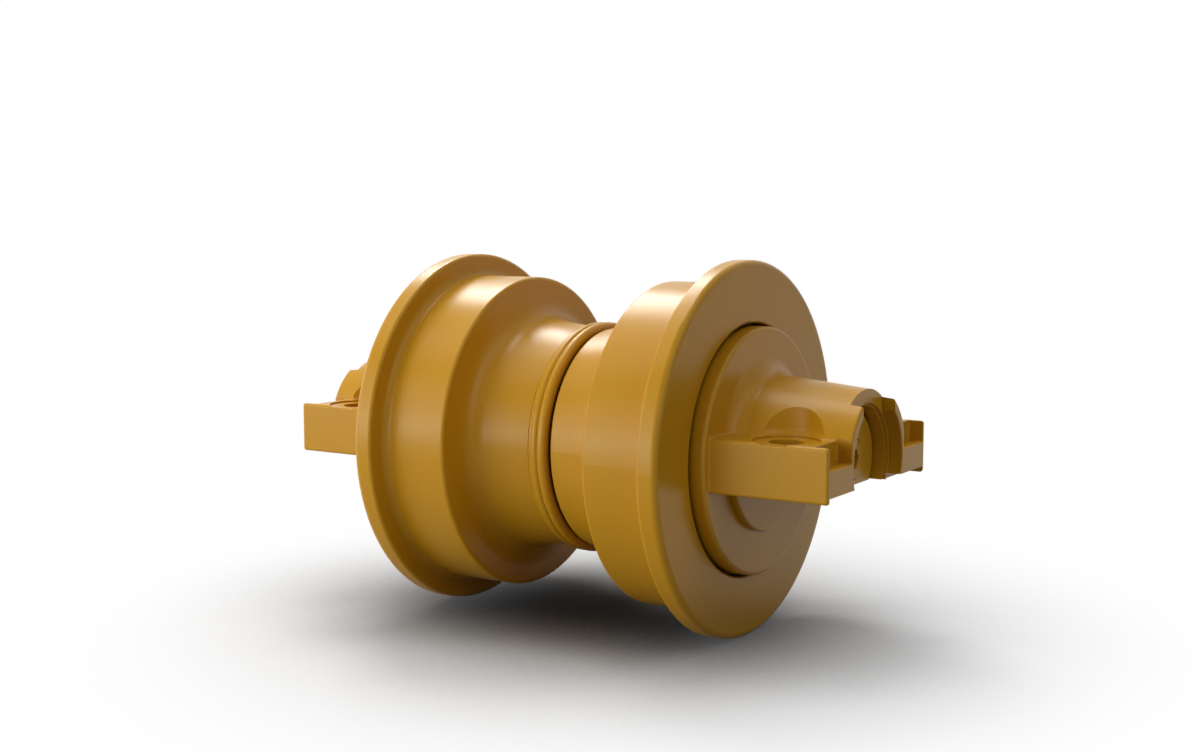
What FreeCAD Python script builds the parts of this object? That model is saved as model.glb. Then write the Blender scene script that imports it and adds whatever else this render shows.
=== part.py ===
import FreeCAD, Part
import Sketcher
import math
import os
import re

from FreeCAD import Placement, Rotation, Vector

# Single flange track roller of a large mining crawler, in millimetres.
# The roller axis is Y, Z is up and the origin is the roller's centre, on the axis and half way
# between the flanges. The front end is at negative Y. "Station" means the distance from the
# middle along the axis, and most pieces are drawn for the rear end and turned round for the front.

doc = FreeCAD.newDocument("track_roller")

# Driving sizes, by piece. Angles are in degrees, all else in millimetres.
SIZES = {
    "Rolling shell": {
        "tread_radius": 131.5,
        "tread_inside": 65.2,
        "tread_width": 59.1,
        "tread_edge_round": 2.8,
        "flange_height": 18.5,
        "flange_width": 17.2,
        "flange_rim_round": 4.9,
        "flange_back_round": 2.8,
        "flange_root_round": 7,
        "hub_radius": 91,
        "hub_draft": 7,
        "hub_root_round": 20,
        "recess_radius": 100.5,
        "recess_edge_round": 2.2,
    },
    "Girth weld": {
        "weld_depth": 11,
        "weld_root_half": 1.5,
        "weld_front_edge": 7.9,
        "weld_rear_edge": 9.6,
        "front_toe_height": 0.2,
        "rear_toe_height": 1,
        "first_valley_height": 3.2,
        "first_valley_station": 0.4,
        "second_valley_height": 2.9,
        "second_valley_station": 6.75,
        "large_pass_round": 4.75,
        "middle_pass_round": 4,
        "small_pass_round": 2.2,
        "front_undercut_width": 2.2,
        "front_undercut_depth": 4,
        "rear_undercut_width": 1.4,
        "rear_undercut_depth": 1.5,
        "undercut_shoulder_round": 1.8,
    },
    "Shaft": {
        "journal_radius": 44.5,
        "neck_step": 2.9,
        "neck_overrun": 0.5,
        "shaft_recess": 21.4,
        "shaft_end_chamfer": 4.8,
        "thrust_clearance": 0.6,
        "thrust_half": 13,
        "step_round": 1.2,
        "flat_level": 20.3,
        "oil_bore_radius": 6,
        "oil_bore_overrun": 9.35,
        "cross_drill_radius": 4,
        "centre_hole_radius": 5,
        "centre_hole_depth": 8,
    },
    "Bushings": {
        "bushing_wall": 14.02,
        "bearing_clearance": 0.08,
        "thrust_gap": 0.3,
        "bushing_flange_lip": 7.4,
        "bushing_flange_thickness": 6,
        "bushing_flange_clearance": 0.4,
        "bushing_flange_gap": 2.5,
        "bushing_chamfer": 1.5,
        "oil_groove_radius": 2.5,
        "oil_groove_land": 12,
        "bushing_pin_radius": 2.5,
        "bushing_pin_depth": 10,
        "pin_clearance": 0.02,
    },
    "Face seals": {
        "seal_inset": 14.5,
        "seal_film": 0.05,
        "seat_depth": 16.5,
        "rim_gap": 1.4,
        "ring_bore_clearance": 4,
        "ring_face_inset": 12,
        "ring_face_relief": 1.2,
        "ring_flange_height": 19.5,
        "ring_flange_thickness": 3.4,
        "ring_wall": 10.8,
        "ring_length": 15.8,
        "ramp_angle": 15,
        "ramp_end": 12.5,
        "ring_lip": 1.7,
        "ring_lip_length": 1.6,
        "toric_section": 9.4,
        "toric_clearance": 0.1,
        "toric_station": 8.3,
    },
    "End collars": {
        "collar_fit": 0.05,
        "sleeve_wall": 15.35,
        "sleeve_gap": 1.5,
        "disc_gap": 2.3,
        "disc_proud": 11.2,
        "disc_edge_round": 2.7,
        "pad_radius": 63,
        "pad_height": 5.6,
        "pad_edge_round": 1.5,
        "web_thickness": 7.8,
        "flat_clearance": 0.2,
        "boss_end_radius": 53.6,
        "boss_draft": 5,
        "boss_root_round": 15,
        "lug_length": 96.8,
        "lug_half_width": 91.5,
        "lug_top": 21,
        "lug_root_round": 2,
        "lug_edge_round": 2.4,
        "lug_end_round": 2,
        "slot_half_width": 30,
        "slot_depth": 10.8,
        "counterbore_gap": 4.4,
        "counterbore_round": 1,
        "bore_step_gap": 2.1,
        "bore_step_depth": 2.6,
        "pocket_wall": 3.6,
        "pocket_floor": 4,
        "pocket_depth": 12.7,
        "pocket_corner_round": 2.2,
        "pocket_floor_round": 1,
        "relief_height": 4.5,
        "relief_overrun": 0.8,
        "bolt_across": 68,
        "bolt_reach": 52.3,
        "bolt_hole_radius": 13.5,
        "spot_radius": 25.5,
        "spot_depth": 1.3,
        "scallop_radius": 29,
        "scallop_foot_round": 5,
    },
    "Collar pins and seals": {
        "collar_pin_radius": 6,
        "collar_pin_across": 24,
        "collar_pin_reach": 23.3,
        "collar_pin_top": 46,
        "collar_pin_recess": 0.5,
        "oring_section": 3.5,
        "oring_groove_depth": 3.5,
        "oring_groove_width": 5,
        "oring_inset": 15.5,
    },
    "Oil plug": {
        "plug_head_radius": 15.9,
        "plug_head_thickness": 3,
        "plug_head_round": 1,
        "plug_nose_chamfer": 1.6,
        "plug_thread_radius": 11.8,
        "plug_thread_length": 20,
        "plug_socket_radius": 8.6,
        "plug_socket_depth": 9,
        "plug_seat_gap": 1.1,
        "plug_seat_depth": 3.2,
        "plug_washer_thickness": 1.2,
        "plug_washer_inset": 0.7,
        "plug_hole_clearance": 0.05,
        "plug_hole_reserve": 4,
    },
}

HAIR = 0.001
ALL_ROUND = 360
CUT_MARGIN = 1

sizes = doc.addObject("Spreadsheet::Sheet", "Sizes")
row = 1
for piece, values in SIZES.items():
    sizes.set("A%d" % row, piece)
    row += 1
    for alias, size in values.items():
        sizes.set("A%d" % row, alias)
        sizes.set("B%d" % row, str(size))
        sizes.setAlias("B%d" % row, alias)
        row += 1
doc.recompute()

# Stations and radii that several pieces share, each worked out once from the driving sizes.
FLANGE_RADIUS = "(tread_radius + flange_height)"
FLANGE_BACK = "(tread_inside + tread_width)"
FLANGE_FACE = "(tread_inside + tread_width + flange_width)"
SEAL_PLANE = "(%s - seal_inset)" % FLANGE_FACE
SEAT_FLOOR = "(%s - seat_depth)" % SEAL_PLANE
FIXED_SEAT_FLOOR = "(%s + seat_depth)" % SEAL_PLANE
RECESS_FLOOR = "(%s - rim_gap / 2)" % SEAL_PLANE
COLLAR_RIM = "(%s + rim_gap / 2)" % SEAL_PLANE
BUSHING_END = "(%s - bushing_flange_gap)" % SEAT_FLOOR
BUSHING_SHOULDER = "(%s - bushing_flange_thickness)" % BUSHING_END
BUSHING_FACE = "(thrust_half + thrust_gap)"
BUSHING_BORE = "(journal_radius + bearing_clearance)"
BUSHING_OUTSIDE = "(%s + bushing_wall)" % BUSHING_BORE
BUSHING_PIN_CIRCLE = "(%s + bushing_flange_lip / 2)" % BUSHING_OUTSIDE
OIL_PORT_STATION = "((%s + %s) / 2)" % (BUSHING_FACE, BUSHING_END)
DISC_RADIUS = "(recess_radius - disc_gap)"
DISC_FACE = "(%s + disc_proud)" % FLANGE_FACE
PAD_FACE = "(%s + pad_height)" % DISC_FACE
WEB_START = "(%s - web_thickness)" % PAD_FACE
COLLAR_END = "(%s + lug_length)" % DISC_FACE
SLOT_FLOOR = "(%s - slot_depth)" % COLLAR_END
POCKET_BACK = "(%s - pocket_depth)" % COLLAR_END
BOLT_STATION = "(%s + bolt_reach)" % DISC_FACE
COLLAR_PIN_STATION = "(%s + collar_pin_reach)" % DISC_FACE
SHAFT_HALF = "(%s - shaft_recess)" % COLLAR_END
SHAFT_RADIUS = "(journal_radius - neck_step)"
COLLAR_BORE = "(%s + collar_fit)" % SHAFT_RADIUS
COUNTERBORE = "(%s + counterbore_gap)" % SHAFT_RADIUS
SLEEVE_RADIUS = "(%s + sleeve_wall)" % COLLAR_BORE
SLEEVE_END = "(%s + sleeve_gap)" % BUSHING_END
RING_BORE = "(%s + ring_bore_clearance)" % SLEEVE_RADIUS
RAMP_LOW = "(%s + ring_wall)" % RING_BORE
ORING_STATION = "(%s - oring_inset)" % FIXED_SEAT_FLOOR
WELD_ROOT = "(hub_radius - weld_depth)"
PLUG_SEAT = "(%s - plug_seat_depth)" % SHAFT_HALF
PLUG_HOLE = "(plug_thread_radius + plug_hole_clearance)"


def bound(expression):
    """Write a size expression so that each of its words names a cell of the sheet."""
    functions = ("sin", "cos", "tan", "sqrt")
    return re.sub(r"[a-z_]+", lambda word: ("" if word[0] in functions else "Sizes.") + word[0], expression)


def value(expression):
    """Give the number that a size expression stands for now."""
    return float(sizes.evalExpression(bound(expression)))


def ring_ramp(distance):
    """Radius of a metal seal ring's ramp at one distance from the seal face."""
    return "(%s + tan(ramp_angle) * (ramp_end - %s))" % (RAMP_LOW, distance)


def seat_ramp(distance):
    """Radius of the toric ring's seat in shell or collar, parallel to the metal ring's ramp."""
    return "(%s + (toric_section + 2 * toric_clearance) / cos(ramp_angle))" % ring_ramp(distance)


def beyond(expression):
    """A little past a size, so that a cut leaves no skin."""
    return "(%s + %d)" % (expression, CUT_MARGIN)


def new_body(label):
    body = doc.addObject("PartDesign::Body", label)
    body.Label = label
    return body


def sketch_on(body, name, role, offset="0"):
    """Start a sketch on one of the body's own origin planes, raised along the plane's normal."""
    sketch = body.newObject("Sketcher::SketchObject", name)
    plane = [feature for feature in body.Origin.OriginFeatures if feature.Role == role][0]
    sketch.AttachmentSupport = [(plane, "")]
    sketch.MapMode = "FlatFace"
    if offset != "0":
        sketch.setExpression("AttachmentOffset.Base.z", bound(offset))
    return sketch


def across_sketch(body, name, station):
    """Start a sketch that faces along the axis, at one station towards the rear."""
    return sketch_on(body, name, "XZ_Plane", "-(%s)" % station)


def pin_coordinate(sketch, geometry, end, letter, expression):
    """Tie one coordinate of a point to the sheet, as a distance from the sketch's origin."""
    size = value(expression)
    if abs(size) < HAIR:
        axis = -2 if letter == "X" else -1
        sketch.addConstraint(Sketcher.Constraint("PointOnObject", geometry, end, axis))
        return
    if size > 0:
        constraint = Sketcher.Constraint("Distance" + letter, -1, 1, geometry, end, size)
    else:
        constraint = Sketcher.Constraint("Distance" + letter, geometry, end, -1, 1, -size)
        expression = "-(%s)" % expression
    number = sketch.addConstraint(constraint)
    sketch.setExpression("Constraints[%d]" % number, bound(expression))


def arc_between(start, end, radius):
    """Arc from start to end that bulges to the right of the way it runs."""
    chord = end - start
    middle = (start + end) * 0.5
    side = Vector(chord.y, -chord.x, 0).normalize()
    height = math.sqrt(radius ** 2 - (chord.Length / 2) ** 2)
    centre = middle - side * height
    first = math.atan2(start.y - centre.y, start.x - centre.x)
    last = math.atan2(end.y - centre.y, end.x - centre.x)
    return Part.ArcOfCircle(Part.Circle(centre, Vector(0, 0, 1), radius), first, last)


def outline(sketch, corners):
    """Draw one closed outline. Each corner is its two coordinates as size expressions, then, where
    the edge that arrives there is an arc, its radius, with "hollow" after it if it curves inwards."""
    points = [Vector(value(x), value(y), 0) for x, y, *arc in corners]
    edges = []
    for index, (x, y, *arc) in enumerate(corners):
        start = points[index - 1]
        end = points[index]
        begins, finishes = (2, 1) if "hollow" in arc else (1, 2)
        if not arc:
            shape = Part.LineSegment(start, end)
        elif "hollow" in arc:
            shape = arc_between(end, start, value(arc[0]))
        else:
            shape = arc_between(start, end, value(arc[0]))
        edges.append((sketch.addGeometry(shape), begins, finishes))
    for (x, y, *arc), edge, following in zip(corners, edges, edges[1:] + edges[:1]):
        geometry, begins, finishes = edge
        next_geometry, next_begins, next_finishes = following
        joined = Sketcher.Constraint("Coincident", geometry, finishes, next_geometry, next_begins)
        sketch.addConstraint(joined)
        pin_coordinate(sketch, geometry, finishes, "X", x)
        pin_coordinate(sketch, geometry, finishes, "Y", y)
        if arc:
            number = sketch.addConstraint(Sketcher.Constraint("Radius", geometry, value(arc[0])))
            sketch.setExpression("Constraints[%d]" % number, bound(arc[0]))


def rectangle(sketch, left, right, low, high):
    outline(sketch, [(left, low), (right, low), (right, high), (left, high)])


def circle(sketch, x, y, radius):
    geometry = sketch.addGeometry(Part.Circle(Vector(value(x), value(y), 0), Vector(0, 0, 1), value(radius)))
    pin_coordinate(sketch, geometry, 3, "X", x)
    pin_coordinate(sketch, geometry, 3, "Y", y)
    number = sketch.addConstraint(Sketcher.Constraint("Radius", geometry, value(radius)))
    sketch.setExpression("Constraints[%d]" % number, bound(radius))


def upright_axis(sketch, x):
    """Add a construction line up the sketch to turn a profile round."""
    foot = Vector(value(x), 0, 0)
    line = sketch.addGeometry(Part.LineSegment(foot, foot + Vector(0, value("lug_top"), 0)), True)
    for end, height in ((1, "0"), (2, "lug_top")):
        pin_coordinate(sketch, line, end, "X", x)
        pin_coordinate(sketch, line, end, "Y", height)


def turn(body, name, sketch, axis="V_Axis", angle=ALL_ROUND):
    """Revolve a profile round an axis of its sketch, evenly to both sides."""
    feature = body.newObject("PartDesign::Revolution", name)
    feature.Profile = sketch
    feature.ReferenceAxis = (sketch, [axis])
    feature.Angle = angle
    feature.Midplane = angle != ALL_ROUND
    sketch.Visibility = False
    doc.recompute()
    return feature


def must_shrink(body, name, before):
    if body.Shape.Volume > before - HAIR:
        raise RuntimeError(name + " removes nothing")


def turn_away(body, name, sketch, axis="V_Axis"):
    """Cut a revolved profile out of the body."""
    before = body.Shape.Volume
    feature = body.newObject("PartDesign::Groove", name)
    feature.Profile = sketch
    feature.ReferenceAxis = (sketch, [axis])
    feature.Angle = ALL_ROUND
    doc.recompute()
    must_shrink(body, name, before)
    return feature


def extrude(body, name, sketch, length, backwards=False):
    feature = body.newObject("PartDesign::Pad", name)
    feature.Profile = sketch
    feature.setExpression("Length", bound(length))
    feature.Reversed = backwards
    doc.recompute()
    return feature


def cut_out(body, name, sketch, length, backwards=False, both_ways=False):
    """Pocket a sketch. The cut runs against the sketch's normal, or along it when backwards."""
    before = body.Shape.Volume
    feature = body.newObject("PartDesign::Pocket", name)
    feature.Profile = sketch
    feature.setExpression("Length", bound(length))
    feature.Reversed = backwards
    if both_ways:
        feature.SideType = "Symmetric"
    doc.recompute()
    must_shrink(body, name, before)
    return feature


def named_edges(shape, wanted):
    return ["Edge%d" % number for number, edge in enumerate(shape.Edges, 1) if wanted(edge)]


def is_circle(edge, radius, station):
    """True for an edge that is a circle round the roller's axis, at one radius and station."""
    curve = edge.Curve
    if curve.TypeId != "Part::GeomCircle":
        return False
    size_fits = abs(curve.Radius - radius) < HAIR
    place_fits = Vector(curve.Center.x, curve.Center.y - station, curve.Center.z).Length < HAIR
    return size_fits and place_fits


def dress(body, kind, name, wanted, size):
    """Round or chamfer every edge of the body's last feature that passes the test."""
    base = body.Tip
    edges = named_edges(base.Shape, wanted)
    if not edges:
        raise RuntimeError(name + " finds no edge")
    feature = body.newObject("PartDesign::" + kind, name)
    feature.Base = (base, edges)
    feature.setExpression("Radius" if kind == "Fillet" else "Size", bound(size))
    doc.recompute()
    return feature


def round_circle(body, name, radius, station, size, kind="Fillet"):
    """Round or chamfer the circular edge at one radius and station."""
    dress(body, kind, name, lambda edge: is_circle(edge, value(radius), value(station)), size)


def pattern_round_axis(body, name, feature, count):
    """Repeat a feature evenly round the roller's axis."""
    pattern = body.newObject("PartDesign::PolarPattern", name)
    pattern.Originals = [feature]
    pattern.Axis = ([item for item in body.Origin.OriginFeatures if item.Role == "Y_Axis"][0], [""])
    pattern.Angle = ALL_ROUND
    pattern.Occurrences = count
    body.Tip = pattern
    doc.recompute()


def face_front(piece):
    """Turn a piece that is drawn for the rear end round the vertical, to the front end."""
    piece.Placement = Placement(Vector(0, 0, 0), Rotation(Vector(0, 0, 1), 180))


def shell(label, weld_edge, undercut_width, undercut_depth, shoulder_round):
    """One forged half of the rolling shell, drawn for the rear end."""
    hub_start = "(%s + %s)" % (weld_edge, undercut_width)
    undercut_floor = "(hub_radius - %s)" % undercut_depth
    hub_end_radius = "(hub_radius + tan(hub_draft) * (tread_inside - %s))" % hub_start
    flange_bore = "(%s + bushing_flange_lip + bushing_flange_clearance)" % BUSHING_OUTSIDE
    body = new_body(label)
    profile = sketch_on(body, label + "_profile", "XY_Plane")
    outline(profile, [
        (BUSHING_OUTSIDE, "0"),
        (WELD_ROOT, "0"),
        (WELD_ROOT, "weld_root_half"),
        (undercut_floor, weld_edge),
        (undercut_floor, hub_start),
        ("hub_radius", hub_start),
        (hub_end_radius, "tread_inside"),
        ("tread_radius", "tread_inside"),
        ("tread_radius", FLANGE_BACK),
        (FLANGE_RADIUS, FLANGE_BACK),
        (FLANGE_RADIUS, FLANGE_FACE),
        ("recess_radius", FLANGE_FACE),
        ("recess_radius", RECESS_FLOOR),
        (seat_ramp("rim_gap / 2"), RECESS_FLOOR),
        (seat_ramp("seat_depth"), SEAT_FLOOR),
        (flange_bore, SEAT_FLOOR),
        (flange_bore, BUSHING_SHOULDER),
        (BUSHING_OUTSIDE, BUSHING_SHOULDER),
    ])
    turn(body, label + "_turned", profile)
    round_circle(body, label + "_rim_round", FLANGE_RADIUS, FLANGE_FACE, "flange_rim_round")
    round_circle(body, label + "_back_round", FLANGE_RADIUS, FLANGE_BACK, "flange_back_round")
    round_circle(body, label + "_flange_root", "tread_radius", FLANGE_BACK, "flange_root_round")
    round_circle(body, label + "_tread_round", "tread_radius", "tread_inside", "tread_edge_round")
    round_circle(body, label + "_hub_root", hub_end_radius, "tread_inside", "hub_root_round")
    round_circle(body, label + "_recess_round", "recess_radius", FLANGE_FACE, "recess_edge_round")
    if shoulder_round:
        round_circle(body, label + "_shoulder", "hub_radius", hub_start, shoulder_round)
    holes = across_sketch(body, label + "_pin_holes", BUSHING_SHOULDER)
    for side in ("", "-"):
        circle(holes, "0", side + BUSHING_PIN_CIRCLE, "(bushing_pin_radius + pin_clearance)")
    cut_out(body, label + "_pin_bores", holes, "bushing_pin_depth", backwards=True)
    return body


def weld_bead():
    """The girth weld: a V root between the shell halves and three passes that stand proud."""
    body = new_body("weld_bead")
    profile = sketch_on(body, "weld_profile", "XY_Plane")
    outline(profile, [
        (WELD_ROOT, "-weld_root_half"),
        ("(hub_radius - front_undercut_depth)", "-weld_front_edge"),
        ("(hub_radius + front_toe_height)", "-weld_front_edge"),
        ("(hub_radius + first_valley_height)", "first_valley_station", "large_pass_round"),
        ("(hub_radius + second_valley_height)", "second_valley_station", "middle_pass_round"),
        ("(hub_radius + rear_toe_height)", "weld_rear_edge", "small_pass_round"),
        ("(hub_radius - rear_undercut_depth)", "weld_rear_edge"),
        (WELD_ROOT, "weld_root_half"),
    ])
    turn(body, "weld_turned", profile)
    return body


def shaft():
    """The fixed shaft: thrust collar, two journals, flatted ends, oil bore and drillings."""
    body = new_body("shaft")
    neck = "(%s + neck_overrun)" % BUSHING_END
    thrust_radius = "(%s - thrust_clearance)" % BUSHING_OUTSIDE
    rear_half = [
        (thrust_radius, "thrust_half"),
        ("journal_radius", "thrust_half"),
        ("journal_radius", neck),
        (SHAFT_RADIUS, neck),
        (SHAFT_RADIUS, "(%s - shaft_end_chamfer)" % SHAFT_HALF),
        ("(%s - shaft_end_chamfer)" % SHAFT_RADIUS, SHAFT_HALF),
        ("0", SHAFT_HALF),
    ]
    front_half = [(radius, "-" + station) for radius, station in reversed(rear_half)]
    profile = sketch_on(body, "shaft_profile", "XY_Plane")
    outline(profile, rear_half + front_half)
    turn(body, "shaft_turned", profile)
    for side in ("", "-"):
        end = "rear" if side == "" else "front"
        for name, radius, at in (("thrust", thrust_radius, "thrust_half"), ("neck", "journal_radius", neck)):
            round_circle(body, "shaft_%s_%s" % (name, end), radius, side + at, "step_round", "Chamfer")
    flats = sketch_on(body, "shaft_flat_lines", "YZ_Plane")
    below = beyond(SHAFT_RADIUS)
    rectangle(flats, WEB_START, beyond(SHAFT_HALF), "-" + below, "-flat_level")
    rectangle(flats, "-" + beyond(SHAFT_HALF), "-" + WEB_START, "-" + below, "-flat_level")
    cut_out(body, "shaft_flats", flats, "2 * " + below, both_ways=True)
    thread_end = "(%s - plug_thread_length - plug_hole_reserve)" % PLUG_SEAT
    seat_radius = "(plug_head_radius + plug_seat_gap)"
    bore = sketch_on(body, "shaft_bore_lines", "XY_Plane")
    outline(bore, [
        ("0", "-" + beyond(SHAFT_HALF)),
        (seat_radius, "-" + beyond(SHAFT_HALF)),
        (seat_radius, "-" + PLUG_SEAT),
        (PLUG_HOLE, "-" + PLUG_SEAT),
        (PLUG_HOLE, "-" + thread_end),
        ("oil_bore_radius", "-(%s - oil_bore_radius)" % thread_end),
        ("oil_bore_radius", "(%s + oil_bore_overrun)" % OIL_PORT_STATION),
        ("0", "(%s + oil_bore_overrun + oil_bore_radius / 2)" % OIL_PORT_STATION),
    ])
    turn_away(body, "shaft_bore", bore)
    ports = sketch_on(body, "shaft_port_lines", "XY_Plane")
    circle(ports, "0", OIL_PORT_STATION, "cross_drill_radius")
    circle(ports, "0", "-" + OIL_PORT_STATION, "cross_drill_radius")
    cut_out(body, "shaft_ports", ports, beyond("journal_radius"), backwards=True)
    centre = sketch_on(body, "shaft_centre_lines", "XY_Plane")
    outline(centre, [
        ("0", "(%s - centre_hole_depth)" % SHAFT_HALF),
        ("centre_hole_radius", SHAFT_HALF),
        ("0", SHAFT_HALF),
    ])
    turn_away(body, "shaft_centre", centre)
    pins = sketch_on(body, "shaft_pin_lines", "XY_Plane")
    pin_hole = "(collar_pin_radius + pin_clearance)"
    for side in ("", "-"):
        circle(pins, side + "collar_pin_across", side + COLLAR_PIN_STATION, pin_hole)
    cut_out(body, "shaft_pin_holes", pins, "2 * " + below, both_ways=True)
    return body


def bushing(label):
    """A flanged bushing that is pressed into one end of the shell, drawn for the rear end."""
    body = new_body(label)
    profile = sketch_on(body, label + "_profile", "XY_Plane")
    outline(profile, [
        (BUSHING_BORE, BUSHING_FACE),
        (BUSHING_OUTSIDE, BUSHING_FACE),
        (BUSHING_OUTSIDE, BUSHING_SHOULDER),
        ("(%s + bushing_flange_lip)" % BUSHING_OUTSIDE, BUSHING_SHOULDER),
        ("(%s + bushing_flange_lip)" % BUSHING_OUTSIDE, BUSHING_END),
        (BUSHING_BORE, BUSHING_END),
    ])
    turn(body, label + "_turned", profile)
    round_circle(body, label + "_lead_in", BUSHING_OUTSIDE, BUSHING_FACE, "bushing_chamfer", "Chamfer")
    round_circle(body, label + "_bore_in", BUSHING_BORE, BUSHING_FACE, "bushing_chamfer", "Chamfer")
    round_circle(body, label + "_bore_out", BUSHING_BORE, BUSHING_END, "bushing_chamfer", "Chamfer")
    groove = across_sketch(body, label + "_groove_lines", BUSHING_FACE)
    circle(groove, BUSHING_BORE, "0", "oil_groove_radius")
    groove_length = "(%s - %s - oil_groove_land)" % (BUSHING_END, BUSHING_FACE)
    first = cut_out(body, label + "_oil_groove", groove, groove_length)
    pattern_round_axis(body, label + "_oil_grooves", first, 3)
    holes = across_sketch(body, label + "_pin_holes", BUSHING_SHOULDER)
    for side in ("", "-"):
        circle(holes, "0", side + BUSHING_PIN_CIRCLE, "(bushing_pin_radius + pin_clearance)")
    cut_out(body, label + "_pin_bores", holes, "bushing_flange_thickness")
    return body


def bushing_pins(label):
    """The two pins that keep a bushing from turning in its shell half."""
    pins = []
    length = "(bushing_pin_depth + bushing_flange_thickness - 2 * pin_clearance)"
    for side in ("", "-"):
        pin = doc.addObject("Part::Cylinder", label + ("_high" if side == "" else "_low"))
        pin.setExpression("Radius", bound("bushing_pin_radius"))
        pin.setExpression("Height", bound(length))
        pin.Placement = Placement(Vector(0, 0, 0), Rotation(Vector(1, 0, 0), -90))
        station = "(%s - bushing_pin_depth + pin_clearance)" % BUSHING_SHOULDER
        pin.setExpression("Placement.Base.y", bound(station))
        pin.setExpression("Placement.Base.z", bound(side + BUSHING_PIN_CIRCLE))
        pins.append(pin)
    pair = doc.addObject("Part::Compound", label)
    pair.Label = label
    pair.Links = pins
    return pair


def seal_ring(label):
    """A metal ring of a face seal. Its lapped face is at station 0 and its ramp runs to the rear."""
    body = new_body(label)
    lip_start = "(ramp_end + ring_lip)"
    profile = sketch_on(body, label + "_profile", "XY_Plane")
    outline(profile, [
        (RING_BORE, "(2 * ring_face_relief)"),
        ("(%s + ring_face_inset)" % RING_BORE, "ring_face_relief"),
        ("(%s + ring_face_inset)" % RING_BORE, "0"),
        ("(%s + ring_flange_height)" % RING_BORE, "0"),
        ("(%s + ring_flange_height)" % RING_BORE, "ring_flange_thickness"),
        (ring_ramp("ring_flange_thickness"), "ring_flange_thickness"),
        (RAMP_LOW, "ramp_end"),
        ("(%s + ring_lip)" % RAMP_LOW, lip_start),
        (RAMP_LOW, "ring_length"),
        (RING_BORE, "ring_length"),
    ])
    turn(body, label + "_turned", profile)
    round_circle(body, label + "_bore_chamfer", RING_BORE, "ring_length", "ring_lip_length", "Chamfer")
    return body


def place_from_seal(piece, distance, faces_rear):
    """Move a seal piece to its place: distance from the middle along the axis, facing one way."""
    turn_by = 0 if faces_rear else 180
    piece.Placement = Placement(Vector(0, 0, 0), Rotation(Vector(0, 0, 1), turn_by))
    piece.setExpression("Placement.Base.y", bound(distance))


def rubber_ring(label, circle_radius, section, station):
    """A rubber ring of round section whose circle lies square to the axis."""
    ring = doc.addObject("Part::Torus", label)
    ring.Label = label
    ring.setExpression("Radius1", bound(circle_radius))
    ring.setExpression("Radius2", bound("(%s / 2)" % section))
    ring.Placement = Placement(Vector(0, 0, 0), Rotation(Vector(1, 0, 0), -90))
    ring.setExpression("Placement.Base.y", bound(station))
    return ring


def boss_outline():
    """Half section of the boss above the axis: a tapered round with a large hollow at its root."""
    root_station = "(%s + boss_root_round)" % DISC_FACE
    taper = "tan(boss_draft) * (%s - %s)" % (COLLAR_END, root_station)
    root_radius = "(boss_end_radius + %s + boss_root_round / cos(boss_draft))" % taper
    return [
        (WEB_START, "0"),
        (COLLAR_END, "0"),
        (COLLAR_END, "boss_end_radius"),
        ("(%s - boss_root_round * sin(boss_draft))" % root_station,
         "(%s - boss_root_round * cos(boss_draft))" % root_radius),
        (DISC_FACE, root_radius, "boss_root_round", "hollow"),
        (WEB_START, root_radius),
    ]


def lug_outline():
    """Section across both lugs: a bar with rounded edges, its underside level with the shaft's flat."""
    side = "(lug_half_width - lug_edge_round)"
    low = "-(flat_level - lug_edge_round)"
    high = "(lug_top - lug_edge_round)"
    return [
        ("-" + side, "-flat_level", "lug_edge_round"),
        (side, "-flat_level"),
        ("lug_half_width", low, "lug_edge_round"),
        ("lug_half_width", high),
        (side, "lug_top", "lug_edge_round"),
        ("-" + side, "lug_top"),
        ("-lug_half_width", high, "lug_edge_round"),
        ("-lug_half_width", low),
    ]


def end_collar(label):
    """The end collar casting, drawn for the rear end: seal cover disc, shaft sleeve, half-round
    boss and two bolt lugs whose undersides sit on the track frame."""
    body = new_body(label)
    turned = sketch_on(body, label + "_disc_profile", "XY_Plane")
    outline(turned, [
        (COLLAR_BORE, SLEEVE_END),
        (SLEEVE_RADIUS, SLEEVE_END),
        (SLEEVE_RADIUS, FIXED_SEAT_FLOOR),
        (seat_ramp("seat_depth"), FIXED_SEAT_FLOOR),
        (seat_ramp("rim_gap / 2"), COLLAR_RIM),
        (DISC_RADIUS, COLLAR_RIM),
        (DISC_RADIUS, DISC_FACE),
        ("0", DISC_FACE),
        ("0", WEB_START),
        (COLLAR_BORE, WEB_START),
    ])
    turn(body, label + "_disc", turned)
    round_circle(body, label + "_disc_round", DISC_RADIUS, DISC_FACE, "disc_edge_round")
    boss = sketch_on(body, label + "_boss_profile", "YZ_Plane")
    outline(boss, boss_outline())
    turn(body, label + "_boss", boss, "H_Axis", 180)
    lugs = across_sketch(body, label + "_lug_lines", DISC_FACE)
    outline(lugs, lug_outline())
    extrude(body, label + "_lugs", lugs, "lug_length", backwards=True)
    round_lugs(body, label)
    pad = sketch_on(body, label + "_pad_profile", "XY_Plane")
    outline(pad, [
        ("0", WEB_START),
        ("pad_radius", WEB_START),
        ("pad_radius", "(%s - pad_edge_round)" % PAD_FACE),
        ("(pad_radius - pad_edge_round)", PAD_FACE, "pad_edge_round"),
        ("0", PAD_FACE),
    ])
    turn(body, label + "_pad", pad)
    hollow_collar(body, label)
    machine_lugs(body, label)
    round_circle(body, label + "_mouth_round", COUNTERBORE, COLLAR_END, "counterbore_round")
    return body


def lies_on(edge, axis, level):
    """True for an edge whose every corner and middle lies at one level of an axis."""
    first, last = edge.ParameterRange
    points = [edge.valueAt(first), edge.valueAt((first + last) / 2), edge.valueAt(last)]
    return all(abs(getattr(point, axis) - level) < HAIR for point in points)


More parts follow.
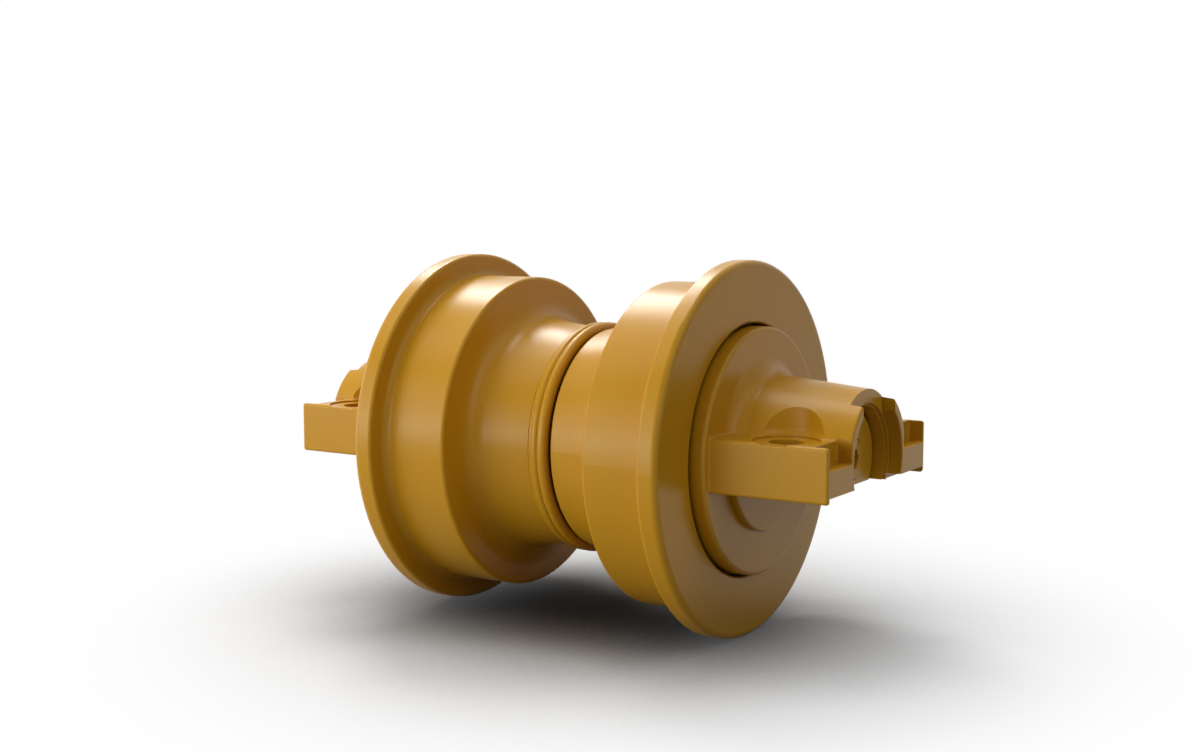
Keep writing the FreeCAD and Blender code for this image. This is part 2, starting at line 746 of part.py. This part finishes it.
def round_lugs(body, label):
    """Cast hollows where the lugs meet boss and disc, then the rounded rim of the end face."""
    top = value("lug_top")
    disc = value(DISC_FACE)
    half = value("lug_half_width")
    end = value(COLLAR_END)

    def is_root(edge):
        middle = edge.valueAt(sum(edge.ParameterRange) / 2)
        round_lug = lies_on(edge, "y", disc) and abs(middle.x) < half + HAIR and abs(middle.z) < top + HAIR
        beside_boss = lies_on(edge, "z", top) and edge.Curve.TypeId != "Part::GeomLine"
        return round_lug or beside_boss

    dress(body, "Fillet", label + "_lug_roots", is_root, "lug_root_round")
    dress(body, "Fillet", label + "_end_rim", lambda edge: lies_on(edge, "y", end), "lug_end_round")


def round_pockets(body, label):
    """Cast hollow round each pocket's floor, and the rounded sill where the floor meets the end face."""
    floor = value("pocket_floor")
    end = value(COLLAR_END)

    def at_wall(edge):
        return lies_on(edge, "z", floor) and not lies_on(edge, "y", end)

    def at_sill(edge):
        return lies_on(edge, "z", floor) and lies_on(edge, "y", end)

    dress(body, "Fillet", label + "_pocket_foot", at_wall, "pocket_floor_round")
    dress(body, "Fillet", label + "_pocket_sill", at_sill, "pocket_floor_round")


def hollow_collar(body, label):
    """Bores, slots and grooves that take the shaft, its O-ring and the pin."""
    flat = "-(flat_level + flat_clearance)"
    half_chord = "sqrt(%s ^ 2 - (flat_level + flat_clearance) ^ 2)" % COLLAR_BORE
    bore = across_sketch(body, label + "_bore_lines", WEB_START)
    outline(bore, [
        (half_chord, flat),
        ("0", COLLAR_BORE, COLLAR_BORE),
        ("-" + half_chord, flat, COLLAR_BORE),
    ])
    cut_out(body, label + "_bore", bore, beyond("%s - %s" % (COLLAR_END, WEB_START)))
    step_radius = "(%s + bore_step_gap)" % SHAFT_RADIUS
    for name, radius, floor in (
            ("step", step_radius, "(%s - bore_step_depth)" % SLOT_FLOOR),
            ("counterbore", COUNTERBORE, SLOT_FLOOR)):
        lines = across_sketch(body, "%s_%s_lines" % (label, name), floor)
        circle(lines, "0", "0", radius)
        cut_out(body, "%s_%s" % (label, name), lines, beyond("slot_depth + bore_step_depth"))
    slot = across_sketch(body, label + "_slot_lines", SLOT_FLOOR)
    rectangle(slot, "-slot_half_width", "slot_half_width", "0", beyond("boss_end_radius"))
    cut_out(body, label + "_slot", slot, beyond("slot_depth"))
    groove = sketch_on(body, label + "_oring_lines", "XY_Plane")
    groove_start = "(%s - oring_groove_width / 2)" % ORING_STATION
    groove_end = "(%s + oring_groove_width)" % groove_start
    rectangle(groove, SHAFT_RADIUS, "(%s + oring_groove_depth)" % COLLAR_BORE, groove_start, groove_end)
    turn_away(body, label + "_oring_groove", groove)
    pin = sketch_on(body, label + "_pin_lines", "XY_Plane", "(collar_pin_top + pin_clearance)")
    circle(pin, "collar_pin_across", COLLAR_PIN_STATION, "(collar_pin_radius + pin_clearance)")
    cut_out(body, label + "_pin_hole", pin, "collar_pin_top")


def machine_lugs(body, label):
    """Wrench scallops, bolt holes with spot faces, and the pocket and relief at each lug's end."""
    inside = "sqrt(boss_end_radius ^ 2 - lug_top ^ 2)"
    outside = "(lug_half_width - pocket_wall)"
    relief_inside = "(sqrt(%s ^ 2 - flat_level ^ 2) - relief_overrun)" % COUNTERBORE
    relief_top = "-(flat_level - relief_height)"
    back_corner = "(%s + pocket_corner_round)" % POCKET_BACK
    for side, place in (("right", ""), ("left", "-")):
        scallop = across_sketch(body, "%s_scallop_%s_lines" % (label, side), BOLT_STATION)
        middle = place + "bolt_across"
        wall = "(%s + scallop_radius)" % middle
        outline(scallop, [
            (middle, "lug_top"),
            ("(%s - scallop_foot_round)" % wall, "lug_top"),
            (wall, "(lug_top + scallop_foot_round)", "scallop_foot_round"),
            (wall, beyond("boss_end_radius")),
            (middle, beyond("boss_end_radius")),
        ])
        upright_axis(scallop, middle)
        turn_away(body, "%s_scallop_%s" % (label, side), scallop, "Axis0")
    pockets = sketch_on(body, label + "_pocket_lines", "XY_Plane", "pocket_floor")
    reliefs = across_sketch(body, label + "_relief_lines", POCKET_BACK)
    for left, right in ((inside, outside), ("-" + outside, "-" + inside)):
        outline(pockets, [
            (left, back_corner),
            ("(%s + pocket_corner_round)" % left, POCKET_BACK, "pocket_corner_round"),
            ("(%s - pocket_corner_round)" % right, POCKET_BACK),
            (right, back_corner, "pocket_corner_round"),
            (right, beyond(COLLAR_END)),
            (left, beyond(COLLAR_END)),
        ])
    for left, right in ((relief_inside, outside), ("-" + outside, "-" + relief_inside)):
        rectangle(reliefs, left, right, "-" + beyond("flat_level"), relief_top)
    pocket_height = "(lug_top - pocket_floor + 2 * lug_root_round)"
    cut_out(body, label + "_pockets", pockets, pocket_height, backwards=True)
    cut_out(body, label + "_reliefs", reliefs, beyond("pocket_depth"))
    round_pockets(body, label)
    for name, radius, level, reach, upwards in (
            ("bolt_holes", "bolt_hole_radius", "lug_top", beyond("lug_top + flat_level"), False),
            ("spot_faces", "spot_radius", "(lug_top - spot_depth)", beyond("spot_depth"), True)):
        lines = sketch_on(body, "%s_%s_lines" % (label, name), "XY_Plane", level)
        for side in ("", "-"):
            circle(lines, side + "bolt_across", BOLT_STATION, radius)
        cut_out(body, "%s_%s" % (label, name), lines, reach, backwards=upwards)


def collar_pin(label):
    """The pin that is driven up through the shaft's flat into the collar's boss."""
    pin = doc.addObject("Part::Cylinder", label)
    pin.Label = label
    pin.setExpression("Radius", bound("collar_pin_radius"))
    pin.setExpression("Height", bound("(collar_pin_top + flat_level - collar_pin_recess)"))
    return pin


def oil_plug():
    """The plug in the shaft's end, drawn with its head towards the rear, its underside at 0."""
    body = new_body("oil_plug")
    profile = sketch_on(body, "plug_profile", "XY_Plane")
    outline(profile, [
        ("0", "-plug_thread_length"),
        ("plug_thread_radius", "-plug_thread_length"),
        ("plug_thread_radius", "0"),
        ("plug_head_radius", "0"),
        ("plug_head_radius", "plug_head_thickness"),
        ("0", "plug_head_thickness"),
    ])
    turn(body, "plug_turned", profile)
    round_circle(body, "plug_head_edge", "plug_head_radius", "plug_head_thickness", "plug_head_round")
    nose = "-plug_thread_length"
    round_circle(body, "plug_nose", "plug_thread_radius", nose, "plug_nose_chamfer", "Chamfer")
    socket = across_sketch(body, "plug_socket_lines", "plug_head_thickness")
    corners = []
    for angle in range(0, ALL_ROUND, 60):
        corners.append(("plug_socket_radius * cos(%d)" % angle, "plug_socket_radius * sin(%d)" % angle))
    outline(socket, corners)
    cut_out(body, "plug_socket", socket, "plug_socket_depth", backwards=True)
    return body


def plug_washer():
    """The sealing washer under the plug's head."""
    outer = doc.addObject("Part::Cylinder", "plug_washer_blank")
    outer.setExpression("Radius", bound("(plug_head_radius - plug_washer_inset)"))
    inner = doc.addObject("Part::Cylinder", "plug_washer_hole")
    inner.setExpression("Radius", bound(PLUG_HOLE))
    for disc in (outer, inner):
        disc.setExpression("Height", bound("plug_washer_thickness"))
        disc.Placement = Placement(Vector(0, 0, 0), Rotation(Vector(1, 0, 0), -90))
        disc.setExpression("Placement.Base.y", bound("-(%s + plug_washer_thickness)" % PLUG_SEAT))
    washer = doc.addObject("Part::Cut", "oil_plug_seal")
    washer.Label = "oil_plug_seal"
    washer.Base = outer
    washer.Tool = inner
    return washer


pieces = [shaft(), weld_bead()]
pieces.append(shell("shell_rear", "weld_rear_edge", "rear_undercut_width", "rear_undercut_depth", None))
pieces.append(shell("shell_front", "weld_front_edge", "front_undercut_width", "front_undercut_depth",
                    "undercut_shoulder_round"))
face_front(pieces[-1])

for end in ("rear", "front"):
    side = "" if end == "rear" else "-"
    for make, name in ((end_collar, "end_collar_"), (bushing, "bushing_"), (bushing_pins, "bushing_pins_")):
        piece = make(name + end)
        if end == "front":
            face_front(piece)
        pieces.append(piece)
    pin = collar_pin("collar_pin_" + end)
    pin.setExpression("Placement.Base.x", bound(side + "collar_pin_across"))
    pin.setExpression("Placement.Base.y", bound(side + COLLAR_PIN_STATION))
    pin.setExpression("Placement.Base.z", bound("-(flat_level - collar_pin_recess)"))
    pieces.append(pin)
    oring_circle = "((%s + %s + oring_groove_depth) / 2)" % (SHAFT_RADIUS, COLLAR_BORE)
    pieces.append(rubber_ring("shaft_oring_" + end, oring_circle, "oring_section", side + ORING_STATION))
    toric_rise = "(toric_section / 2 + toric_clearance) / cos(ramp_angle)"
    toric_circle = "(%s + %s)" % (ring_ramp("toric_station"), toric_rise)
    for kind, sign in (("rolling", "-"), ("fixed", "+")):
        metal = seal_ring("seal_ring_%s_%s" % (kind, end))
        runs_rear = (kind == "fixed") == (end == "rear")
        place_from_seal(metal, "%s(%s %s seal_film / 2)" % (side, SEAL_PLANE, sign), runs_rear)
        station = "%s(%s %s toric_station)" % (side, SEAL_PLANE, sign)
        pieces.append(metal)
        pieces.append(rubber_ring("toric_ring_%s_%s" % (kind, end), toric_circle, "toric_section", station))

plug = oil_plug()
face_front(plug)
plug.setExpression("Placement.Base.y", bound("-(%s + plug_washer_thickness)" % PLUG_SEAT))
pieces += [plug, plug_washer()]

doc.recompute()

for feature in doc.Objects:
    if "Invalid" in feature.State or "Error" in feature.State:
        raise RuntimeError(feature.Name + " did not build")

os.makedirs("parts", exist_ok=True)
for piece in pieces:
    if piece.Shape.isNull() or not piece.Shape.isValid():
        raise RuntimeError(piece.Label + " has no valid shape")
    piece.Shape.exportStep("parts/%s.step" % piece.Label)
    print("%-26s %8.2f cm3, solids %d" % (piece.Label, piece.Shape.Volume / 1000, len(piece.Shape.Solids)))
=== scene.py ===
# %% [markdown]
# # A single flange track roller, dressed for its portrait
#
# A track roller carries a crawler on its track. Two forged half shells are welded into one roller
# that turns on a fixed shaft, and a cast collar at each end bolts the shaft under the track frame.
# The construction already exists as solids, so this lesson adds only what the eye needs: paint,
# metal and rubber, a floor, light and a camera. Lengths are in metres.

# %% Load the solids
import math

import bpy
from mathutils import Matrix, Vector


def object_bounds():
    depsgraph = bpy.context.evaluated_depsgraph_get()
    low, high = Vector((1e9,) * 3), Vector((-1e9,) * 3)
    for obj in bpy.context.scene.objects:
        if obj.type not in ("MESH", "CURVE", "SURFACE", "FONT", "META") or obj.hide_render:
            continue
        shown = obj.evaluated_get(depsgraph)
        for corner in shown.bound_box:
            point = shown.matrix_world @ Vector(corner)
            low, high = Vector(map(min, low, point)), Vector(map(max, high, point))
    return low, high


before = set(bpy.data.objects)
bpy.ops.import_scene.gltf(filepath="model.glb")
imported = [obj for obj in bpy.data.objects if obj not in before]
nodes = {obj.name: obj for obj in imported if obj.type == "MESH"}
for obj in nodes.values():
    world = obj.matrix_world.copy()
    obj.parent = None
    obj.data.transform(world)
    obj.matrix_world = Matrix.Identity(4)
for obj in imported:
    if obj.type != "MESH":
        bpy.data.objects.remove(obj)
solid_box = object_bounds()
print("size in metres:", [round(high - low, 4) for low, high in zip(*solid_box)])

# %% [markdown]
# ## One way to write colours and nodes
#
# Colours are easiest to judge as the hex values that a paint chart gives. A shader wants linear
# light, so one function converts them. A second function adds a shader node, sets it up and wires
# it, and every material below is built with it.

# %% Colour and node helpers
MM = 0.001


def linear(hex_colour):
    """Turn an sRGB hex value such as #C6901B into linear red, green, blue and alpha."""
    channels = [int(hex_colour[place:place + 2], 16) / 255 for place in (1, 3, 5)]
    return [c / 12.92 if c <= 0.04045 else ((c + 0.055) / 1.055) ** 2.4 for c in channels] + [1.0]


def add(tree, kind, inputs=None, **settings):
    """Add a node, set its properties, and give each named input a value or a link."""
    node = tree.nodes.new(kind)
    for name, setting in settings.items():
        setattr(node, name, setting)
    for name, given in (inputs or {}).items():
        if isinstance(given, bpy.types.NodeSocket):
            tree.links.new(given, node.inputs[name])
        else:
            node.inputs[name].default_value = given
    return node


def new_material(name):
    """An empty material and its node tree."""
    material = bpy.data.materials.new(name)
    material.use_nodes = True
    material.node_tree.nodes.clear()
    return material, material.node_tree


print("ochre in linear light:", [round(c, 3) for c in linear("#C6901B")])

# %% [markdown]
# ## Camera
#
# The photograph was taken with a slightly long lens from the front left, a little above the axis.
# Its place was worked out from the ellipses that the turned rims draw in the picture.

# %% Camera
CAMERA_PLACE = (-1.1685, -0.7443, 0.1981)
CAMERA_TILT = 83.93
CAMERA_HEADING = -57.47
LENS_MM = 50.13
SENSOR_MM = 36.0
NEAREST_SEEN, FARTHEST_SEEN = 0.01, 100

camera_data = bpy.data.cameras.new("portrait_camera")
camera_data.lens = LENS_MM
camera_data.sensor_width = SENSOR_MM
camera_data.clip_start = NEAREST_SEEN
camera_data.clip_end = FARTHEST_SEEN
camera = bpy.data.objects.new("portrait_camera", camera_data)
camera.location = CAMERA_PLACE
camera.rotation_euler = (math.radians(CAMERA_TILT), 0, math.radians(CAMERA_HEADING))
bpy.context.scene.collection.objects.link(camera)
bpy.context.scene.camera = camera
print("camera distance to the roller's centre:", round(camera.location.length, 3))

# %% [markdown]
# ## Floor
#
# The roller stands on a white studio sweep. Close to it the floor is a plain matt white that takes
# the shadow. Further out it fades to pure white, so that no horizon shows. The fade follows the
# distance from the roller. Both whites are only what the eye, a mirror or glass sees. The light
# that the floor throws back up at the roller is that of a grey card, or its underside would look
# lit. Where the roller hides much of the room from a spot of floor, that spot's colour is darkened
# a little more, a painted shadow like the soft deep shadow of a wide white studio.

# %% White sweep
FLOOR_HALF = 6.0
SHADOW_REACH = 0.14
WHITE_FROM = 0.54
CONTACT_REACH = 0.5
CONTACT_DEPTH = 1.95
CONTACT_SAMPLES = 8
CARD_WHITE, CARD_SHADOW, CARD_GREY = "#FAFAFA", "#101010", "#8C8C8C"
floor_level = solid_box[0].z

corners = [(x * FLOOR_HALF, y * FLOOR_HALF, floor_level)
           for x, y in ((-1, -1), (1, -1), (1, 1), (-1, 1))]
floor_mesh = bpy.data.meshes.new("floor")
floor_mesh.from_pydata(corners, [], [range(len(corners))])
floor = bpy.data.objects.new("floor", floor_mesh)
bpy.context.scene.collection.objects.link(floor)


def seen_directly(tree):
    """1 for rays from the camera, off a mirror or through glass, 0 for the light that spreads."""
    path = add(tree, "ShaderNodeLightPath")
    shiny = add(tree, "ShaderNodeMath", operation="MAXIMUM",
                inputs={0: path.outputs["Is Glossy Ray"], 1: path.outputs["Is Transmission Ray"]})
    both = add(tree, "ShaderNodeMath", operation="MAXIMUM",
               inputs={0: path.outputs["Is Camera Ray"], 1: shiny.outputs[0]})
    return both.outputs[0]


material, tree = new_material("matt_white_studio_floor")
place = add(tree, "ShaderNodeTexCoord").outputs["Object"]
away = add(tree, "ShaderNodeVectorMath", {0: place}, operation="LENGTH").outputs["Value"]
fade = add(tree, "ShaderNodeMapRange", interpolation_type="SMOOTHSTEP", inputs={
    "Value": away, "From Min": SHADOW_REACH, "From Max": WHITE_FROM}).outputs["Result"]
direct = seen_directly(tree)
white_share = add(tree, "ShaderNodeMath", {0: fade, 1: direct}, operation="MULTIPLY").outputs[0]
# Painted shadow: the floor's colour goes toward near black where the roller hides the room from it.
openness = add(tree, "ShaderNodeAmbientOcclusion", {"Distance": CONTACT_REACH},
               samples=CONTACT_SAMPLES).outputs["AO"]
painted_shadow_mix = add(tree, "ShaderNodeMath", {0: openness, 1: CONTACT_DEPTH}, operation="POWER").outputs[0]
white = add(tree, "ShaderNodeMix", {0: painted_shadow_mix, 6: linear(CARD_SHADOW), 7: linear(CARD_WHITE)},
            data_type="RGBA")
card = add(tree, "ShaderNodeMix", {0: direct, 6: linear(CARD_GREY), 7: white.outputs[2]},
           data_type="RGBA")
matt = add(tree, "ShaderNodeBsdfDiffuse", {"Color": card.outputs[2]})
glow = add(tree, "ShaderNodeEmission", {"Color": linear("#FFFFFF"), "Strength": 1.0})
faded = add(tree, "ShaderNodeMixShader", {0: white_share, 1: matt.outputs[0], 2: glow.outputs[0]})
add(tree, "ShaderNodeOutputMaterial", {"Surface": faded.outputs[0]})
floor_mesh.materials.append(material)
print("floor level in mm:", round(floor_level / MM, 1))

# %% [markdown]
# ## World
#
# The background is white where it is looked at or mirrored. As a light it is nearly off, because
# the shape of a turned piece shows best when the light comes from a few soft boxes.

# %% White background, little fill
FILL = 0.03

world = bpy.data.worlds.new("studio")
bpy.context.scene.world = world
world.use_nodes = True
tree = world.node_tree
tree.nodes.clear()
seen = add(tree, "ShaderNodeBackground", {"Color": linear("#FFFFFF"), "Strength": 1.0})
light = add(tree, "ShaderNodeBackground", {"Color": linear("#FFFFFF"), "Strength": FILL})
mixed = add(tree, "ShaderNodeMixShader", {
    0: seen_directly(tree), 1: light.outputs[0], 2: seen.outputs[0]})
add(tree, "ShaderNodeOutputWorld", {"Surface": mixed.outputs[0]})
print("fill light strength:", FILL)

# %% [markdown]
# ## Soft boxes
#
# Each soft box is given by how far round it stands from the camera, how high it is, its distance,
# its width and height in metres and its power in watts. One very large panel on the left opens up
# the sides that face the camera, and because it is large it leaves no hard highlight. The small key
# behind the roller draws the long pale lines on its shoulders.

# %% Lamps
LOWEST_LAMP = 0.3
SOFT_BOXES = [
    ("wide_left_panel", -76, 5, 1.6, 3.2, 1.3, 26),
    ("low_left_strip", -58, -1, 2.0, 2.4, 0.4, 12),
    ("over_back_left", -140, 76, 2.5, 0.9, 0.9, 16),
    ("rim_key", -163, 47, 2.5, 0.8, 0.8, 35),
    ("low_right", 35, 17, 2.5, 1.2, 0.9, 5),
    ("right", 45, 35, 2.5, 1.2, 0.9, 4.5),
    ("top_right", 60, 58, 2.5, 1.2, 1.2, 5),
    ("top_left", -90, 55, 2.5, 1.2, 1.2, 8),
]

for name, round_degrees, height_degrees, distance, wide, high, power in SOFT_BOXES:
    heading = math.radians(CAMERA_HEADING + round_degrees)
    height = math.radians(height_degrees)
    level = math.cos(height)
    direction = Vector((math.sin(heading) * level, -math.cos(heading) * level, math.sin(height)))
    data = bpy.data.lights.new(name, "AREA")
    data.shape = "RECTANGLE"
    data.size = wide
    data.size_y = high
    data.energy = power
    lamp = bpy.data.objects.new(name, data)
    lamp.location = direction * distance
    lamp.location.z = max(lamp.location.z, floor_level + LOWEST_LAMP)
    lamp.rotation_euler = (-lamp.location).to_track_quat("-Z", "Y").to_euler()
    lamp.visible_camera = False
    bpy.context.scene.collection.objects.link(lamp)
print("lamps:", len(SOFT_BOXES), "watts in all:", sum(power for *_, power in SOFT_BOXES))

# %% [markdown]
# ## How a finish is built
#
# Every finish here has three things that a flat colour lacks: a slow drift between two near tones,
# gloss that isn't quite even, and a fine grain in the surface. The sizes are in millimetres as they
# would be measured on the real piece. Where a tool or a wheel left lines, the grain is stretched.
# Paint has one thing more: a painted shade darkens its colour to nearly black in narrow gaps and
# grooves, so the eye reads each joint between two pieces as a thin dark line.

# %% One recipe for all finishes
NOISE_DETAIL = 3.0
GAP_SHADE_COLOUR = "#1E1503"
GAP_SAMPLES = 6
GAP_DARK_BELOW, GAP_CLEAR_ABOVE = 0.25, 0.6


def painted_gap_shade(tree, colour, reach_mm):
    """The colour with painted shade: darkened where a gap or groove narrower than the reach closes
    round it.
    """
    openness = add(tree, "ShaderNodeAmbientOcclusion", {"Distance": reach_mm * MM},
                   samples=GAP_SAMPLES).outputs["AO"]
    open_share = add(tree, "ShaderNodeMapRange", {
        "Value": openness, "From Min": GAP_DARK_BELOW, "From Max": GAP_CLEAR_ABOVE})
    mixed = add(tree, "ShaderNodeMix", {0: open_share.outputs[0], 6: linear(GAP_SHADE_COLOUR), 7: colour},
                data_type="RGBA")
    return mixed.outputs[2]


def drifting(tree, place, tones, drift_mm):
    """A slow drift from 0 to 1 over the piece, and the colour that follows it between two tones."""
    drift = add(tree, "ShaderNodeTexNoise", {
        "Vector": place, "Scale": 1 / (drift_mm * MM), "Detail": NOISE_DETAIL})
    tone = add(tree, "ShaderNodeMix", data_type="RGBA", inputs={
        0: drift.outputs[0], 6: linear(tones[0]), 7: linear(tones[1])})
    return drift.outputs[0], tone.outputs[2]


def finish(tree, tones, drift_mm, gloss, grain_mm, grain_depth, stretch=(1, 1, 1), gap_mm=0,
           **principled):
    """A surface shader from two tones, a gloss range, a grain, and any other shader inputs."""
    place = add(tree, "ShaderNodeTexCoord").outputs["Object"]
    lines = add(tree, "ShaderNodeMapping", {"Vector": place, "Scale": stretch}).outputs[0]
    grain = add(tree, "ShaderNodeTexNoise", {
        "Vector": lines, "Scale": 1 / (grain_mm * MM), "Detail": NOISE_DETAIL}).outputs[0]
    drift, tone = drifting(tree, place, tones, drift_mm)
    # Where a gap reach is given, the colour is darkened in narrow gaps, a painted shade.
    colour = painted_gap_shade(tree, tone, gap_mm) if gap_mm else tone
    roughness = add(tree, "ShaderNodeMapRange", {
        "Value": drift, "To Min": gloss[0], "To Max": gloss[1]}).outputs[0]
    relief = add(tree, "ShaderNodeBump", {
        "Height": grain, "Distance": grain_depth * MM, "Strength": 1.0}).outputs[0]
    inputs = {"Base Color": colour, "Roughness": roughness, "Normal": relief}
    inputs.update({name.replace("_", " "): amount for name, amount in principled.items()})
    return add(tree, "ShaderNodeBsdfPrincipled", inputs).outputs[0]


def whole_material(name, **recipe):
    """A material that is one finish all over."""
    material, tree = new_material(name)
    add(tree, "ShaderNodeOutputMaterial", {"Surface": finish(tree, **recipe)})
    return material


# %% [markdown]
# ## Ochre machine paint
#
# The whole roller is sprayed after assembly with one coat of ochre machine enamel. Its gloss is
# that of a wet-looking but slightly soft film. Sprayed paint flows out into a very faint orange
# peel. Over a forging that was turned it lies smooth, over sand-cast steel it follows the grain of
# the mould, and over the weld it follows the ripples of the passes.

# %% Paint
# The paint's colour is darkened to nearly black in gaps under 4 mm, a painted shade.
OCHRE = dict(tones=("#C6901B", "#C08B16"), drift_mm=45, gloss=(0.28, 0.35), gap_mm=4,
             Specular_IOR_Level=0.21)
SMOOTH = dict(grain_mm=2.2, grain_depth=0.012)
SANDY = dict(grain_mm=1.6, grain_depth=0.035)

paint_on_forging = whole_material("ochre_enamel_on_turned_forging", **SMOOTH, **OCHRE)
paint_on_casting = whole_material("ochre_enamel_on_sand_cast_steel", **SANDY, **OCHRE)
print("paints:", paint_on_forging.name, paint_on_casting.name)

# %% Paint over the weld
RIPPLE_PITCH_MM = 2.6
RIPPLE_HEIGHT_MM = 0.03
RIPPLE_BEND = 2.5
WAVE_TURNS = 2 * math.pi / 20
BEAD_RADIUS_MM = 94
WELD_ROUGHNESS = 0.31

paint_on_weld, tree = new_material("ochre_enamel_on_weld_ripples")
place = add(tree, "ShaderNodeTexCoord").outputs["Object"]
axes = add(tree, "ShaderNodeSeparateXYZ", {0: place}).outputs
angle = add(tree, "ShaderNodeMath", {0: axes["X"], 1: axes["Z"]}, operation="ARCTAN2").outputs[0]
along = add(tree, "ShaderNodeMath", {0: angle, 1: BEAD_RADIUS_MM * MM},
            operation="MULTIPLY").outputs[0]
unrolled = add(tree, "ShaderNodeCombineXYZ", {"X": along, "Y": axes["Y"]}).outputs[0]
ripples = add(tree, "ShaderNodeTexWave", {
    "Vector": unrolled, "Distortion": RIPPLE_BEND, "Detail": 1.0,
    "Scale": WAVE_TURNS / (RIPPLE_PITCH_MM * MM)}).outputs[0]
relief = add(tree, "ShaderNodeBump", {
    "Height": ripples, "Distance": RIPPLE_HEIGHT_MM * MM, "Strength": 1.0})
tone = drifting(tree, place, OCHRE["tones"], OCHRE["drift_mm"])[1]
# The weld's colour is darkened in narrow gaps too, a painted shade.
shader = add(tree, "ShaderNodeBsdfPrincipled", {
    "Base Color": painted_gap_shade(tree, tone, OCHRE["gap_mm"]), "Roughness": WELD_ROUGHNESS,
    "Specular IOR Level": OCHRE["Specular_IOR_Level"], "Normal": relief.outputs[0]})
add(tree, "ShaderNodeOutputMaterial", {"Surface": shader.outputs[0]})
print("ripples once round the weld:", round(2 * math.pi * BEAD_RADIUS_MM / RIPPLE_PITCH_MM))

# %% [markdown]
# ## The shaft
#
# The shaft is ground where the bushings run and where the collars sit, and only its two ends are
# painted, because the paint goes on last. The boundary is the plane where each collar's web ends.

# %% Ground steel with painted ends
PAINT_FROM_MM = 150.0
GROUND_STEEL = dict(tones=("#B9B9B6", "#A9AAA8"), drift_mm=30, gloss=(0.22, 0.32), grain_mm=6,
                    grain_depth=0.004, stretch=(1, 40, 1), Metallic=1.0)

shaft_material, tree = new_material("ground_alloy_steel_with_painted_ends")
place = add(tree, "ShaderNodeTexCoord").outputs["Object"]
station = add(tree, "ShaderNodeSeparateXYZ", {0: place}).outputs["Y"]
from_middle = add(tree, "ShaderNodeMath", {0: station}, operation="ABSOLUTE").outputs[0]
painted = add(tree, "ShaderNodeMath", {0: from_middle, 1: PAINT_FROM_MM * MM},
              operation="GREATER_THAN").outputs[0]
ground = finish(tree, **GROUND_STEEL)
enamel = finish(tree, **SMOOTH, **OCHRE)
ends = add(tree, "ShaderNodeMixShader", {0: painted, 1: ground, 2: enamel})
add(tree, "ShaderNodeOutputMaterial", {"Surface": ends.outputs[0]})
print("shaft painted beyond mm:", PAINT_FROM_MM)

# %% [markdown]
# ## What works inside
#
# The inner pieces are never painted. Bearing bronze is turned, so its marks run round the bore. The
# pins are ground. The seal rings are hard iron, lapped to a fine grey sheen. Nitrile rubber is
# black and almost matt. The washer under the plug is soft copper.

# %% Bronze, steel, iron, rubber and copper
bronze = whole_material("turned_bearing_bronze", tones=("#C79A55", "#B68643"), drift_mm=20,
                        gloss=(0.25, 0.36), grain_mm=5, grain_depth=0.006, stretch=(1, 30, 1),
                        Metallic=1.0)
pin_steel = whole_material("ground_pin_steel", **GROUND_STEEL)
seal_iron = whole_material("lapped_hard_iron", tones=("#8F9193", "#7E8082"), drift_mm=12,
                           gloss=(0.3, 0.4), grain_mm=0.8, grain_depth=0.003, Metallic=1.0)
rubber = whole_material("black_nitrile_rubber", tones=("#1D1D1E", "#252524"), drift_mm=15,
                        gloss=(0.55, 0.7), grain_mm=0.6, grain_depth=0.02)
copper = whole_material("soft_copper_washer", tones=("#C98B6B", "#B87454"), drift_mm=6,
                        gloss=(0.25, 0.4), grain_mm=0.7, grain_depth=0.006, Metallic=1.0)
print("inner finishes:", ", ".join(m.name for m in (bronze, pin_steel, seal_iron, rubber, copper)))

# %% [markdown]
# ## Which piece gets which finish

# %% Dress every piece
# The first name that fits wins, so the longer of two alike names comes first.
by_start = [("shell", paint_on_forging), ("weld_bead", paint_on_weld),
            ("end_collar", paint_on_casting), ("shaft_oring", rubber), ("shaft", shaft_material),
            ("oil_plug_seal", copper), ("oil_plug", paint_on_forging), ("bushing_pins", pin_steel),
            ("bushing", bronze), ("collar_pin", pin_steel), ("seal_ring", seal_iron),
            ("toric_ring", rubber)]

for name, node in nodes.items():
    chosen = next(material for start, material in by_start if name.startswith(start))
    for slot in node.material_slots:
        slot.material = chosen
    print("%-28s %s" % (name, chosen.name))

# %% [markdown]
# ## Colour handling
#
# The picture is shown without a film curve, so a colour comes out about as it is written.

# %% Finish
bpy.context.scene.view_settings.view_transform = "Standard"
